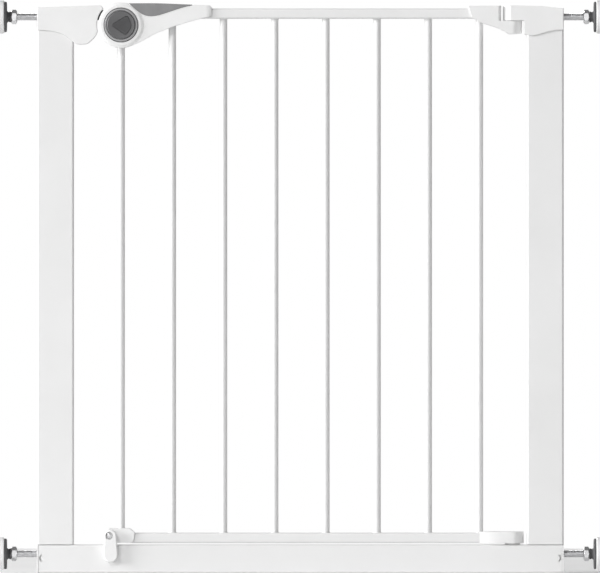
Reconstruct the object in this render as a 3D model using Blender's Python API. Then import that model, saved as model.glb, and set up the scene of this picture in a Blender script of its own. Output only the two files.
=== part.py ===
"""Pressure-fit safety gate: a U frame clamped between two walls, with a swinging door.

X runs across the doorway, -Y is the front, Z is up. The origin is the middle of the sill's underside.
"""

import math

import bmesh
import bpy
from mathutils import Vector

# Frame
FRAME_WIDTH = 0.714
RAIL_LINE = 0.7585  # height of the top rail's middle
FRAME_DEPTH = 0.025
POST_WIDTH = 0.050
SILL_HEIGHT = 0.0385
TUBE_WALL = 0.0012
TUBE_CORNER = 0.003
PLUG_FLANGE = 0.002
PLUG_LENGTH = 0.020
SLOT_HEIGHT = 0.0095  # snap slot in the sill's front, which holds the end plug
SLOT_LINE = 0.0205
SLOT_DEPTH = 0.0020  # room behind the slot, and at the back of the plug
SEAM = 0.0003  # gap between pieces that touch
OVERLAP = 0.0002  # by which shapes joined into one piece run into each other

# Door
RAIL_HEIGHT = 0.0137
RAIL_DEPTH = 0.020
RAIL_CORNER = 0.0025
DOOR_LIFT = 0.0024  # gap under the bottom rail
BAR_DIAMETER = 0.0100
BAR_COUNT = 8
HINGE_SETBACK = 0.0194  # hinge axis to the post's inner face
LATCH_SETBACK = 0.0641  # hub centre, and first bar, to the post's inner face
LAST_BAR_SETBACK = 0.0447  # last bar to the hinge axis

# Hinge
KNUCKLE_RADIUS = 0.0129
FOOT_NOSE_RADIUS = 0.0154
EAR_HEIGHT = 0.0206
EAR_GAP = 0.0004
LOWER_EAR_HEIGHT = 0.0166
HINGE_PIN_RADIUS = 0.0030
FOOT_PIN_RADIUS = 0.0040
PIN_CLEARANCE = 0.0003
WASHER_THICKNESS = 0.0012
FOOT_HEIGHT = 0.0160

# Caps of the posts
CAP_RISE = 0.0110  # rail line to the cap's top
CAP_SKIN = 0.0019
CAP_INSET = 0.0005  # cap's outer end, back from the post's
CAP_ROOF = 0.0036
LATCH_GAP = 0.0020  # between the latch cap and the hub
SCREW_RADIUS = 0.0018
SCREW_HEAD_RADIUS = 0.0036
SCREW_DROP = 0.0255  # below the cap's top

# Hub and handle
HUB_DROP = 0.0157  # rail line to the hub's centre
HUB_RADIUS = 0.0309
HUB_FRONT = 0.0160
HUB_BACK = 0.0140
HUB_RIM = 0.0071  # width of the hub's rim round the ring
HUB_FLOOR = 0.0018
CORE_HALF = 0.0092  # half the depth of what lies between the two shells
SHELL_GAP = 0.0004
ROOF_WALL = 0.0026  # of the handle's roof over the core
LEVER_LENGTH = 0.1232  # hub centre to the lever's tip
LEVER_FRONT = 0.0140
LEVER_WALL = 0.0030
TIP_ROUND = 0.0090  # length of the round at the lever's tip
INLAY_THICKNESS = 0.0018
HANDLE_LIFT = math.radians(25)
PIVOT_RADIUS = 0.0039
RING_WIDTH = 0.0041
RING_FRONT = 0.0170
BUTTON_CLEARANCE = 0.0004
BUTTON_FRONT = 0.0182
BUTTON_THICKNESS = 0.0030
TRIANGLE_DEPTH = 0.0009

# Latch bolt
BOLT_DROP = 0.0020  # below the rail line
BOLT_HEIGHT = 0.0130
BOLT_HALF = 0.0070
BOLT_PROUD = 0.0077  # how far the bolt stands out of the hub
BOLT_TAIL = 0.0030  # hub centre to the bolt's rear end
BOLT_TRAVEL = 0.0090
BOLT_CLEARANCE = 0.0004
PEG_RADIUS = 0.0020
PEG_CLEARANCE = 0.0007
SPRING_WIRE = 0.0012

# Stop tab
TAB_PIVOT = 0.0160  # left of the first bar
TAB_PIVOT_HEIGHT = 0.0507
TAB_LEAN = 0.0018  # pivot to the tab's middle line
TAB_TOP_RADIUS = 0.0082
TAB_LOW_RADIUS = 0.0099
TAB_DROP = 0.0258  # pivot to the centre of the lower round
TAB_GAP = 0.0015  # between the tab and the sill's front
TAB_THICKNESS = 0.0065
TAB_PIN_RADIUS = 0.0026
TAB_RECESS_RADIUS = 0.0053
TAB_RECESS = 0.0028
TAB_HEAD_RADIUS = 0.0034
TAB_HEAD_THICKNESS = 0.0014

# Pressure spindles
TOP_SPINDLE_DROP = 0.0045  # below the rail line
LOW_SPINDLE_HEIGHT = 0.0260
SPINDLE_RADIUS = 0.0046
SPINDLE_INSIDE = 0.0210  # thread inside the frame
SPINDLE_CLEARANCE = 0.0005
NUT_FACE = 0.0270  # frame face to the nut
NUT_THICKNESS = 0.0080
NUT_FLATS = 0.0170
NECK_LENGTH = 0.0055
NECK_RADIUS = 0.0073
PAD_RADIUS = 0.0207
PAD_THICKNESS = 0.0032
CUP_RADIUS = 0.0225
CUP_THICKNESS = 0.0090
CUP_RECESS = 0.0050
CUP_HOLE = 0.0023  # screw hole's radius
BUSH_RADIUS = 0.0080
BUSH_LENGTH = 0.0145

# Worked out from the sizes above
HALF_WIDTH = FRAME_WIDTH / 2
HALF_DEPTH = FRAME_DEPTH / 2
POST_FACE = HALF_WIDTH - POST_WIDTH
HINGE_X = POST_FACE - HINGE_SETBACK
HUB_X = LATCH_SETBACK - POST_FACE
HUB_Z = RAIL_LINE - HUB_DROP
LAST_BAR_X = HINGE_X - LAST_BAR_SETBACK
CAP_TOP = RAIL_LINE + CAP_RISE
CAP_HALF = HALF_DEPTH + SEAM + CAP_SKIN
CAP_SCREW_X = HALF_WIDTH - POST_WIDTH / 2
CAP_SCREW_Z = CAP_TOP - SCREW_DROP
POST_TOP = CAP_TOP - CAP_ROOF - SEAM
RAIL_TOP = RAIL_LINE + RAIL_HEIGHT / 2
RAIL_BOTTOM = RAIL_LINE - RAIL_HEIGHT / 2
RAIL_HALF = RAIL_DEPTH / 2
LOW_RAIL_BOTTOM = SILL_HEIGHT + DOOR_LIFT
LOW_RAIL_TOP = LOW_RAIL_BOTTOM + RAIL_HEIGHT
BAR_RADIUS = BAR_DIAMETER / 2
EAR_BOTTOM = CAP_TOP - EAR_HEIGHT
SHELL_INNER = CORE_HALF + SHELL_GAP
HUB_BORE = HUB_RADIUS - HUB_RIM
RING_INNER = HUB_BORE - RING_WIDTH
BUTTON_RADIUS = RING_INNER - BUTTON_CLEARANCE
RIM_RADIUS = HUB_RADIUS - ROOF_WALL
CORE_RADIUS = RIM_RADIUS - SEAM
BOLT_REACH = HUB_RADIUS + BOLT_PROUD  # hub centre to the bolt's tip
TAB_FRONT = HALF_DEPTH + TAB_GAP + TAB_THICKNESS
TAB_X = HUB_X - TAB_PIVOT

# Linear colour, roughness, metallic
FINISHES = {
    "white_paint": ((0.86, 0.86, 0.86), 0.32, 0.0),
    "white_plastic": ((0.88, 0.88, 0.88), 0.42, 0.0),
    "grey_plastic": ((0.29, 0.29, 0.30), 0.55, 0.0),
    "light_grey_plastic": ((0.40, 0.40, 0.41), 0.40, 0.0),
    "dark_grey_plastic": ((0.16, 0.16, 0.17), 0.50, 0.0),
    "rubber": ((0.13, 0.13, 0.135), 0.75, 0.0),
    "zinc": ((0.72, 0.72, 0.73), 0.28, 1.0),
    "spring_steel": ((0.55, 0.55, 0.56), 0.30, 1.0),
}

PLACE = {
    "x": lambda u, v, t: (t, u, v),
    "y": lambda u, v, t: (u, t, v),
    "z": lambda u, v, t: (u, v, t),
}


def clear_scene():
    for thing in list(bpy.data.objects):
        bpy.data.objects.remove(thing, do_unlink=True)


# Outlines: lists of (u, v) points


def arc(centre, radius, start, end, steps):
    """Points along an arc, with its angles in degrees."""
    points = []
    for i in range(steps + 1):
        angle = math.radians(start + (end - start) * i / steps)
        points.append((centre[0] + radius * math.cos(angle), centre[1] + radius * math.sin(angle)))
    return points


def circle(centre, radius, steps):
    return arc(centre, radius, 0, 360, steps)[:-1]


def rounded_box(low, high, radius, steps=3):
    points = []
    corners = ((high[0], high[1], 0), (low[0], high[1], 90), (low[0], low[1], 180), (high[0], low[1], 270))
    for u, v, start in corners:
        inner = (u - math.copysign(radius, u - low[0] - 1e-9), v - math.copysign(radius, v - low[1] - 1e-9))
        points += arc(inner, radius, start, start + 90, steps)
    return points


def middle_box(half_u, half_v, radius, middle_v=0.0, steps=3):
    return rounded_box((-half_u, middle_v - half_v), (half_u, middle_v + half_v), radius, steps)


def smooth(points, steps):
    """Catmull-Rom curve through the points."""
    ends = [points[0], *points, points[-1]]
    curve = []
    for a, b, c, d in zip(ends, ends[1:], ends[2:], ends[3:]):
        for i in range(steps):
            t = i / steps
            weights = (
                (-t + 2 * t * t - t**3) / 2,
                (2 - 5 * t * t + 3 * t**3) / 2,
                (t + 4 * t * t - 3 * t**3) / 2,
                (t**3 - t * t) / 2,
            )
            curve.append(tuple(sum(w * p[k] for w, p in zip(weights, (a, b, c, d))) for k in (0, 1)))
    return [*curve, points[-1]]


def mirrored(outline):
    return [(-u, v) for u, v in reversed(outline)]


def moved(outline, du, dv=0.0):
    return [(u + du, v + dv) for u, v in outline]


# Meshes


def closed(mesh):
    bmesh.ops.recalc_face_normals(mesh, faces=mesh.faces)
    return mesh


def prism(outline, start, end, along):
    """Solid of an outline extruded from start to end along an axis."""
    mesh = bmesh.new()
    place = PLACE[along]
    face = mesh.faces.new([mesh.verts.new(place(u, v, start)) for u, v in outline])
    made = bmesh.ops.extrude_face_region(mesh, geom=[face])["geom"]
    corners = [g for g in made if isinstance(g, bmesh.types.BMVert)]
    bmesh.ops.translate(mesh, verts=corners, vec=Vector(place(0, 0, end - start)))
    return closed(mesh)


def block(x, y, z):
    """Box between three (low, high) pairs."""
    return prism([(x[0], y[0]), (x[1], y[0]), (x[1], y[1]), (x[0], y[1])], z[0], z[1], "z")


def tube(outer, inner, start, end, along):
    """Open-ended tube between two outlines of as many points."""
    mesh = bmesh.new()
    place = PLACE[along]
    rings = [
        [mesh.verts.new(place(u, v, t)) for u, v in outline]
        for outline, t in ((outer, start), (outer, end), (inner, end), (inner, start))
    ]
    for first, second in zip(rings, rings[1:] + rings[:1]):
        for i in range(len(first)):
            j = (i + 1) % len(first)
            mesh.faces.new((first[i], first[j], second[j], second[i]))
    return closed(mesh)


def turned(profile, centre, along, steps=24):
    """Solid turned from (radius, distance) points about an axis; a profile off the axis makes a ring."""
    mesh = bmesh.new()
    place = PLACE[along]
    corners = [mesh.verts.new(place(radius, 0, distance)) for radius, distance in profile]
    edges = [mesh.edges.new(pair) for pair in zip(corners, corners[1:])]
    if profile[0][0] > 0:
        edges.append(mesh.edges.new((corners[-1], corners[0])))
    axis = Vector(place(0, 0, 1))
    bmesh.ops.spin(mesh, geom=corners + edges, axis=axis, angle=math.tau, steps=steps, use_merge=True)
    bmesh.ops.remove_doubles(mesh, verts=mesh.verts, dist=1e-7)
    bmesh.ops.translate(mesh, verts=mesh.verts, vec=centre)
    return closed(mesh)


def rod(radius, start, end, centre, along, steps=24):
    """Plain round bar; centre is a point on its axis, and start and end are measured from it."""
    return turned([(0, start), (radius, start), (radius, end), (0, end)], centre, along, steps)


def ring(inner, outer, start, end, centre, along, steps=24):
    return turned([(inner, start), (outer, start), (outer, end), (inner, end)], centre, along, steps)


# Objects


def finish(name, kind):
    """Each piece has a material of its own, in one of the gate's finishes."""
    colour, roughness, metallic = FINISHES[kind]
    material = bpy.data.materials.new(name + "_" + kind)
    material.use_nodes = True
    shader = material.node_tree.nodes["Principled BSDF"]
    shader.inputs["Base Color"].default_value = (*colour, 1)
    shader.inputs["Roughness"].default_value = roughness
    shader.inputs["Metallic"].default_value = metallic
    return material


def empty(name, place, parent=None):
    """Axis of a joint: everything parented to it moves with that joint."""
    axis = bpy.data.objects.new(name, None)
    bpy.context.scene.collection.objects.link(axis)
    axis.empty_display_size = 0.02
    axis.location = Vector(place) - (parent.matrix_world.translation if parent else Vector())
    axis.parent = parent
    bpy.context.view_layer.update()
    return axis


def add_object(name, mesh, parent):
    data = bpy.data.meshes.new(name)
    origin = parent.matrix_world.translation if parent else Vector()
    bmesh.ops.translate(mesh, verts=mesh.verts, vec=-origin)
    mesh.to_mesh(data)
    mesh.free()
    data.shade_smooth()
    data.set_sharp_from_angle(angle=math.radians(35))
    thing = bpy.data.objects.new(name, data)
    bpy.context.scene.collection.objects.link(thing)
    thing.parent = parent
    return thing


def piece(name, mesh, kind, parent=None):
    thing = add_object(name, mesh, parent)
    thing.data.materials.append(finish(name, kind))
    return thing


def shape_with(thing, mesh, operation):
    """Boolean of the piece and a helper shape, which isn't rendered."""
    helper = add_object(f"{thing.name}_helper_{len(thing.modifiers) + 1}", mesh, thing.parent)
    helper.hide_render = True
    helper.display_type = "WIRE"
    modifier = thing.modifiers.new(operation.lower(), "BOOLEAN")
    modifier.operation = operation
    modifier.solver = "EXACT"
    modifier.object = helper


def cut(thing, *meshes):
    for mesh in meshes:
        shape_with(thing, mesh, "DIFFERENCE")


def join(thing, *meshes):
    for mesh in meshes:
        shape_with(thing, mesh, "UNION")


# Fixed frame


def sill():
    outer = middle_box(HALF_DEPTH, SILL_HEIGHT / 2, TUBE_CORNER, SILL_HEIGHT / 2)
    inner = middle_box(
        HALF_DEPTH - TUBE_WALL, SILL_HEIGHT / 2 - TUBE_WALL, TUBE_CORNER - TUBE_WALL, SILL_HEIGHT / 2
    )
    end = HALF_WIDTH - PLUG_FLANGE - SEAM
    thing = piece("sill_tube", tube(outer, inner, -end, end, "x"), "white_paint")
    hole = FOOT_PIN_RADIUS + PIN_CLEARANCE
    cut(thing, rod(hole, -0.004, 0.004, (HINGE_X, 0, SILL_HEIGHT), "z", 16))
    for side in (-1, 1):
        cut(thing, prism(snap_slot(side), -HALF_DEPTH - 0.001, -HALF_DEPTH + 0.002, "y"))


def snap_slot(side):
    """Crescent near the sill's end, bulging outwards."""
    half, bulge = SLOT_HEIGHT / 2, 0.0030
    edge = HALF_WIDTH - PLUG_FLANGE - SEAM - 0.0014
    radius = (half * half + bulge * bulge) / (2 * bulge)
    spread = math.degrees(math.asin(half / radius))
    outer = arc((edge - radius, SLOT_LINE), radius, -spread, spread, 6)
    inner = arc((edge - radius - 0.0016, SLOT_LINE), radius, spread - 4, 4 - spread, 6)
    outline = outer + inner
    return outline if side > 0 else mirrored(outline)


def sill_plug(name, side):
    half_y = HALF_DEPTH - TUBE_WALL - SLOT_DEPTH
    half_z = SILL_HEIGHT / 2 - TUBE_WALL - SEAM
    corner = TUBE_CORNER - TUBE_WALL
    face = middle_box(HALF_DEPTH, SILL_HEIGHT / 2, TUBE_CORNER, SILL_HEIGHT / 2)
    stub = middle_box(half_y, half_z, corner, SILL_HEIGHT / 2)
    end, inside = side * HALF_WIDTH, side * (HALF_WIDTH - PLUG_FLANGE)
    thing = piece(name, prism(face, inside, end, "x"), "white_plastic")
    join(thing, prism(stub, side * (HALF_WIDTH - PLUG_LENGTH), inside + side * 0.0005, "x"))
    centre = (end, 0, LOW_SPINDLE_HEIGHT)
    cut(thing, rod(SPINDLE_RADIUS + SPINDLE_CLEARANCE, -0.03, 0.03, centre, "x"))
    seat = side * (HALF_WIDTH - PLUG_FLANGE - 0.003)
    bore = rod(BUSH_RADIUS + SEAM, 0, -side * 0.03, (seat, 0, LOW_SPINDLE_HEIGHT), "x")
    cut(thing, bore)


def bush(name, side, height, first):
    """Threaded bush that the spindle screws into; first is its outer end's distance from the frame's face."""
    outer, inner = side * (HALF_WIDTH - first), side * (HALF_WIDTH - first - BUSH_LENGTH)
    bore = SPINDLE_RADIUS + SPINDLE_CLEARANCE
    low, high = sorted((outer, inner))
    piece(name, ring(bore, BUSH_RADIUS, low, high, (0, 0, height), "x"), "zinc")


def post(name, side):
    outer = moved(middle_box(POST_WIDTH / 2, HALF_DEPTH, TUBE_CORNER), side * (HALF_WIDTH - POST_WIDTH / 2))
    inner = moved(
        middle_box(POST_WIDTH / 2 - TUBE_WALL, HALF_DEPTH - TUBE_WALL, TUBE_CORNER - TUBE_WALL),
        side * (HALF_WIDTH - POST_WIDTH / 2),
    )
    thing = piece(name, tube(outer, inner, SILL_HEIGHT + SEAM, POST_TOP, "z"), "white_paint")
    height = RAIL_LINE - TOP_SPINDLE_DROP
    hole = rod(SPINDLE_RADIUS + SPINDLE_CLEARANCE, -0.004, 0.004, (side * HALF_WIDTH, 0, height), "x")
    cut(thing, hole, screw_hole(side, HALF_DEPTH))


def screw_hole(side, face):
    centre = (side * CAP_SCREW_X, face, CAP_SCREW_Z)
    return rod(SCREW_RADIUS + SEAM, -0.003, 0.003, centre, "y", 12)


def cap_screw(name, side):
    """Pan head on the back of a cap; its shank goes through the cap into the post."""
    shank_end = HALF_DEPTH - 0.0045
    seat = CAP_HALF + SEAM
    profile = [
        (0, shank_end),
        (SCREW_RADIUS, shank_end),
        (SCREW_RADIUS, seat),
        (SCREW_HEAD_RADIUS, seat),
        (SCREW_HEAD_RADIUS - 0.0006, seat + 0.0019),
        (0, seat + 0.0023),
    ]
    centre = (side * CAP_SCREW_X, 0, CAP_SCREW_Z)
    piece(name, turned(profile, centre, "y", 16), "zinc")


def post_room(side):
    """What the post takes up inside a cap, open at the cap's outer side."""
    inner, outer = side * (POST_FACE - SEAM), side * (HALF_WIDTH + 0.002)
    half = HALF_DEPTH + SEAM
    return block(sorted((inner, outer)), (-half, half), (CAP_TOP - 0.08, POST_TOP + SEAM))


def skirt(side, depth):
    """Lower edge of a cap over its post, from the post's inner face outwards."""
    points = [(0.0, depth), (0.0098, 0.0423), (0.0180, 0.0378), (0.0263, 0.0354), (0.0361, 0.0339)]
    outline = [(side * (POST_FACE + u), CAP_TOP - v) for u, v in points]
    return [*smooth(outline, 3), (side * (HALF_WIDTH - CAP_INSET), CAP_TOP - 0.0333)]


def latch_cap():
    """Cap of the latch post: its right side follows the hub, and the bolt shoots into its pocket."""
    centre, radius = (HUB_X, HUB_Z), HUB_RADIUS + LATCH_GAP
    start = math.degrees(math.asin((CAP_TOP - 0.0036 - HUB_Z) / radius))
    hollow = arc(centre, radius, 180 - start, 194, 12)
    width = HUB_X - radius + POST_FACE
    drops = ((0.994, 0.0385), (0.859, 0.0445), (0.599, 0.0515), (0.385, 0.0527), (0.179, 0.0525))
    lobe = [(-POST_FACE + share * width, CAP_TOP - drop) for share, drop in drops]
    round_lobe = smooth([hollow[-1], *lobe, (-POST_FACE, CAP_TOP - 0.0500)], 3)
    corner = hollow[0][0]
    outline = [
        (CAP_INSET - HALF_WIDTH, CAP_TOP - 0.0030),
        (corner - 0.0047, CAP_TOP),
        (corner - 0.0023, CAP_TOP - 0.0008),
        *hollow[:-1],
        *round_lobe[:-1],
        *skirt(-1, 0.0500),
    ]
    thing = piece("latch_cap", prism(outline, -CAP_HALF, CAP_HALF, "y"), "white_plastic")
    bevel = thing.modifiers.new("bevel", "BEVEL")
    bevel.width = 0.0009
    bevel.limit_method = "ANGLE"
    bevel.angle_limit = math.radians(60)
    seat = strike_seat()
    half = BOLT_HEIGHT / 2 + BOLT_CLEARANCE
    levels = (bolt_line() - half, bolt_line() + half)
    pocket = block((seat, HUB_X), (-CAP_HALF - 0.002, BOLT_HALF + 0.002), levels)
    inside = (-POST_FACE - 0.001, seat - 0.0025)
    core = block(inside, (-HALF_DEPTH, HALF_DEPTH), (CAP_TOP - 0.0460, CAP_TOP - CAP_ROOF))
    cut(thing, post_room(-1), core, pocket, screw_hole(-1, CAP_HALF))


def strike_seat():
    """Rear wall of the pocket that the bolt enters."""
    return HUB_X - BOLT_REACH - 0.0033


def strike_plate():
    seat = strike_seat() + SEAM
    half = BOLT_HEIGHT / 2 + BOLT_CLEARANCE - SEAM
    outline = middle_box(BOLT_HALF, half, 0.0010, bolt_line())
    thing = piece("strike_plate", prism(outline, seat, seat + 0.0015, "x"), "zinc")
    cut(thing, rod(0.0016, -0.005, 0.005, (seat, 0, bolt_line()), "x", 12))


def hinge_cap():
    """Cap of the hinge post, with the upper ear that the hinge pin hangs in."""
    reach, ear_left = POST_FACE - 0.0035, HINGE_X - KNUCKLE_RADIUS
    drops = [(-0.0035, 0.0355), (-0.0030, 0.0385), (0.0010, 0.0400), (0.0080, 0.0407)]
    drops += [(0.0145, 0.0396), (0.0254, 0.0362), (0.0390, 0.0335)]
    edge = smooth([(POST_FACE + u, CAP_TOP - v) for u, v in drops], 3)
    outline = [
        (ear_left, CAP_TOP),
        (ear_left, EAR_BOTTOM),
        (reach, EAR_BOTTOM),
        *edge,
        (HALF_WIDTH - CAP_INSET, CAP_TOP - 0.0330),
        (HALF_WIDTH - CAP_INSET, CAP_TOP - 0.0043),
        (POST_FACE + 0.0200, CAP_TOP - 0.0010),
    ]
    thing = piece("hinge_cap", prism(outline, -CAP_HALF, CAP_HALF, "y"), "white_plastic")
    nose = [(HINGE_X + u * KNUCKLE_RADIUS, v * CAP_HALF) for u, v in arc((0, 0), 1, 90, 270, 16)]
    far = HALF_WIDTH + 0.001
    plan = [*nose[1:-1], (HINGE_X, -CAP_HALF - 0.001), (far, -CAP_HALF - 0.001)]
    plan += [(far, CAP_HALF + 0.001), (HINGE_X, CAP_HALF + 0.001)]
    shape_with(thing, prism(plan, CAP_TOP - 0.08, CAP_TOP + 0.01, "z"), "INTERSECT")
    cut(thing, post_room(1))
    hole = HINGE_PIN_RADIUS + PIN_CLEARANCE
    cut(thing, rod(hole, -EAR_HEIGHT - 0.001, -CAP_ROOF, (HINGE_X, 0, CAP_TOP), "z", 16))
    cut(thing, screw_hole(1, CAP_HALF))


def hinge_pins():
    low = EAR_BOTTOM - EAR_GAP - LOWER_EAR_HEIGHT + 0.0010
    high = CAP_TOP - CAP_ROOF - SEAM
    piece("hinge_pin_upper", rod(HINGE_PIN_RADIUS, low, high, (HINGE_X, 0, 0), "z", 20), "zinc")
    top = SILL_HEIGHT + SEAM + WASHER_THICKNESS + 0.0115
    piece("hinge_pin_lower", rod(FOOT_PIN_RADIUS, SILL_HEIGHT - 0.010, top, (HINGE_X, 0, 0), "z", 20), "zinc")
    hole = FOOT_PIN_RADIUS + PIN_CLEARANCE
    start = SILL_HEIGHT + SEAM
    washer = ring(hole, 0.0105, start, start + WASHER_THICKNESS, (HINGE_X, 0, 0), "z", 24)
    piece("hinge_washer", washer, "white_plastic")


# Door


def rail(name, start, end, middle, parent):
    outer = middle_box(RAIL_HALF, RAIL_HEIGHT / 2, RAIL_CORNER, middle)
    inner = middle_box(RAIL_HALF - TUBE_WALL, RAIL_HEIGHT / 2 - TUBE_WALL, RAIL_CORNER - TUBE_WALL, middle)
    piece(name, tube(outer, inner, start, end, "x"), "white_paint", parent)


def bars(parent):
    """Evenly spaced uprights; the first stands in the latch fittings, and the last in the hinge fittings."""
    for number in range(1, BAR_COUNT + 1):
        x = HUB_X + (LAST_BAR_X - HUB_X) * (number - 1) / (BAR_COUNT - 1)
        low, high = LOW_RAIL_TOP + SEAM, RAIL_BOTTOM - SEAM
        if number == 1:
            low, high = LOW_RAIL_BOTTOM + 0.007, HUB_Z - 0.0185
        piece(f"bar_{number}", rod(BAR_RADIUS, low, high, (x, 0, 0), "z", 16), "white_paint", parent)


def bracket_left():
    return HINGE_X - 0.0595


def hinge_bracket(parent):
    """Upper door fitting: it holds the top rail's end and the last bar, and its nose turns under the ear."""
    top, ear_top = CAP_TOP - 0.0005, EAR_BOTTOM - EAR_GAP
    wall = HINGE_X - 0.0153
    nose = HINGE_X + KNUCKLE_RADIUS
    low_nose = ear_top - LOWER_EAR_HEIGHT
    left = bracket_left()
    outline = [
        (left, top),
        (wall, top),
        (wall, ear_top),
        (nose, ear_top),
        (nose, low_nose + 0.0004),
        (nose - 0.0012, low_nose - 0.0004),
        (HINGE_X - 0.0043, low_nose - 0.0014),
        (HINGE_X - 0.0110, low_nose + 0.0028),
        (HINGE_X - 0.0230, low_nose + 0.0081),
        (HINGE_X - 0.0400, low_nose + 0.0135),
        (HINGE_X - 0.0495, low_nose + 0.0185),
        (HINGE_X - 0.0541, low_nose + 0.0205),
    ]
    half = KNUCKLE_RADIUS
    thing = piece("hinge_bracket", prism(outline, -half, half, "y"), "white_plastic", parent)
    plan = [
        (left - 0.001, -half - 0.001),
        (wall - 0.0045, -half - 0.001),
        *arc((HINGE_X, 0), half, -90, 90, 20),
        (wall - 0.0045, half + 0.001),
        (left - 0.001, half + 0.001),
    ]
    shape_with(thing, prism(plan, 0.6 * RAIL_LINE, RAIL_LINE + 0.1, "z"), "INTERSECT")
    room = middle_box(RAIL_HALF + SEAM, RAIL_HEIGHT / 2 + SEAM, RAIL_CORNER, RAIL_LINE)
    cut(thing, prism(room, left - 0.002, left + 0.0120, "x"))
    bar_hole = rod(BAR_RADIUS + SEAM, -0.04, SEAM, (LAST_BAR_X, 0, RAIL_BOTTOM), "z", 16)
    cut(thing, bar_hole)
    cut(thing, rod(HINGE_PIN_RADIUS + PIN_CLEARANCE, -0.03, 0.01, (HINGE_X, 0, ear_top), "z", 16))
    width, depth = 0.0042, 0.0080
    for side in (-1, 1):
        # slopes the tall upright edges next to the ear
        edge = [(wall - width * (1 - u), side * (half - depth * (1 - v))) for u, v in arc((0, 0), 1, 0, 90, 6)]
        edge += [(wall - width, side * (half + 0.001)), (wall + 0.001, side * (half + 0.001))]
        edge += [(wall + 0.001, side * (half - depth))]
        cut(thing, prism(edge, ear_top, CAP_TOP + 0.002, "z"))


def foot_left():
    return HINGE_X - 0.0446


def hinge_foot(parent):
    """Lower door fitting, bulging past the sill, with the bore that stands on the lower pin."""
    low = SILL_HEIGHT + SEAM + WASHER_THICKNESS + SEAM
    high = low + FOOT_HEIGHT
    left = foot_left()
    half = RAIL_HALF + 0.0005
    side = smooth(
        [(left, -half), (left + 0.010, -0.0134), (left + 0.024, -0.0153), (HINGE_X, -FOOT_NOSE_RADIUS)], 3
    )
    nose = arc((HINGE_X, 0), FOOT_NOSE_RADIUS, -90, 90, 18)
    plan = [*side[:-1], *nose, *[(u, -v) for u, v in reversed(side[:-1])]]
    thing = piece("hinge_foot", prism(plan, low, high, "z"), "white_plastic", parent)
    fit = TUBE_WALL + SEAM
    spigot = middle_box(RAIL_HALF - fit, RAIL_HEIGHT / 2 - fit, 0.001, low_rail_line())
    join(thing, prism(spigot, left - 0.012, left + 0.002, "x"))
    cut(thing, rod(FOOT_PIN_RADIUS + PIN_CLEARANCE, -0.01, 0.0120, (HINGE_X, 0, low), "z", 16))
    cut(thing, rod(BAR_RADIUS + SEAM, 0, 0.02, (LAST_BAR_X, 0, LOW_RAIL_TOP), "z", 16))


def low_rail_line():
    return LOW_RAIL_BOTTOM + RAIL_HEIGHT / 2


def latch_foot(parent):
    """End fitting of the bottom rail, which holds the first bar and carries the stop tab's pin."""
    low, high = LOW_RAIL_BOTTOM + 0.0002, LOW_RAIL_BOTTOM + 0.0199
    left, right = HUB_X - 0.0212, HUB_X + 0.0186
    half = RAIL_HALF + 0.0022
    outline = [
        *arc((left + 0.006, high - 0.006), 0.006, 180, 90, 4),
        (right - 0.0085, high),
        (right - 0.0050, high - 0.0012),
        (right, LOW_RAIL_TOP + 0.0004),
        (right - 0.0012, low + 0.0045),
        (right - 0.0050, low),
        *arc((left + 0.003, low + 0.003), 0.003, 270, 180, 3),
    ]
    thing = piece("latch_foot", prism(outline, -half, half, "y"), "white_plastic", parent)
    room = middle_box(RAIL_HALF + SEAM, RAIL_HEIGHT / 2 + SEAM, RAIL_CORNER, low_rail_line())
    cut(thing, prism(room, latch_foot_seat(), right + 0.002, "x"))
    cut(thing, rod(BAR_RADIUS + SEAM, LOW_RAIL_BOTTOM + 0.0067, 0.08, (HUB_X, 0, 0), "z", 16))
    pin_hole = rod(TAB_PIN_RADIUS + PIN_CLEARANCE, -0.03, -0.0045, (TAB_X, 0, TAB_PIVOT_HEIGHT), "y", 16)
    cut(thing, pin_hole)


def latch_foot_seat():
    """How far the bottom rail goes into the latch foot."""
    return HUB_X + 0.0070


def stop_tab_pin(parent):
    """Rivet whose head lies in the tab's recess."""
    seat = -TAB_FRONT + TAB_RECESS - SEAM
    head = seat - TAB_HEAD_THICKNESS
    profile = [
        (0, head),
        (TAB_HEAD_RADIUS - 0.0006, head),
        (TAB_HEAD_RADIUS, head + 0.0006),
        (TAB_HEAD_RADIUS, seat),
        (TAB_PIN_RADIUS, seat),
        (TAB_PIN_RADIUS, -0.0050),
        (0, -0.0050),
    ]
    piece("stop_tab_pin", turned(profile, (TAB_X, 0, TAB_PIVOT_HEIGHT), "y", 20), "zinc", parent)


def stop_tab(parent):
    """Drop-shaped tab that hangs in front of the sill and stops the door from swinging back."""
    top = (TAB_X + TAB_LEAN, TAB_PIVOT_HEIGHT)
    low = (TAB_X + TAB_LEAN, TAB_PIVOT_HEIGHT - TAB_DROP)
    outline = arc(top, TAB_TOP_RADIUS, 4, 176, 12) + arc(low, TAB_LOW_RADIUS, 184, 356, 14)
    front, back = -TAB_FRONT, -TAB_FRONT + TAB_THICKNESS
    thing = piece("stop_tab", prism(outline, front, back, "y"), "white_plastic", parent)
    centre = (TAB_X, 0, TAB_PIVOT_HEIGHT)
    cut(thing, rod(TAB_PIN_RADIUS + PIN_CLEARANCE, front - 0.002, back + 0.002, centre, "y", 20))
    cut(thing, rod(TAB_RECESS_RADIUS, front - 0.002, front + TAB_RECESS, centre, "y", 24))


# Latch and handle


def housing_end():
    """Right-hand end of the latch housing, which the top rail butts against."""
    return HUB_X + HUB_RADIUS + 2 * SEAM


def bolt_line():
    return RAIL_LINE - BOLT_DROP


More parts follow.
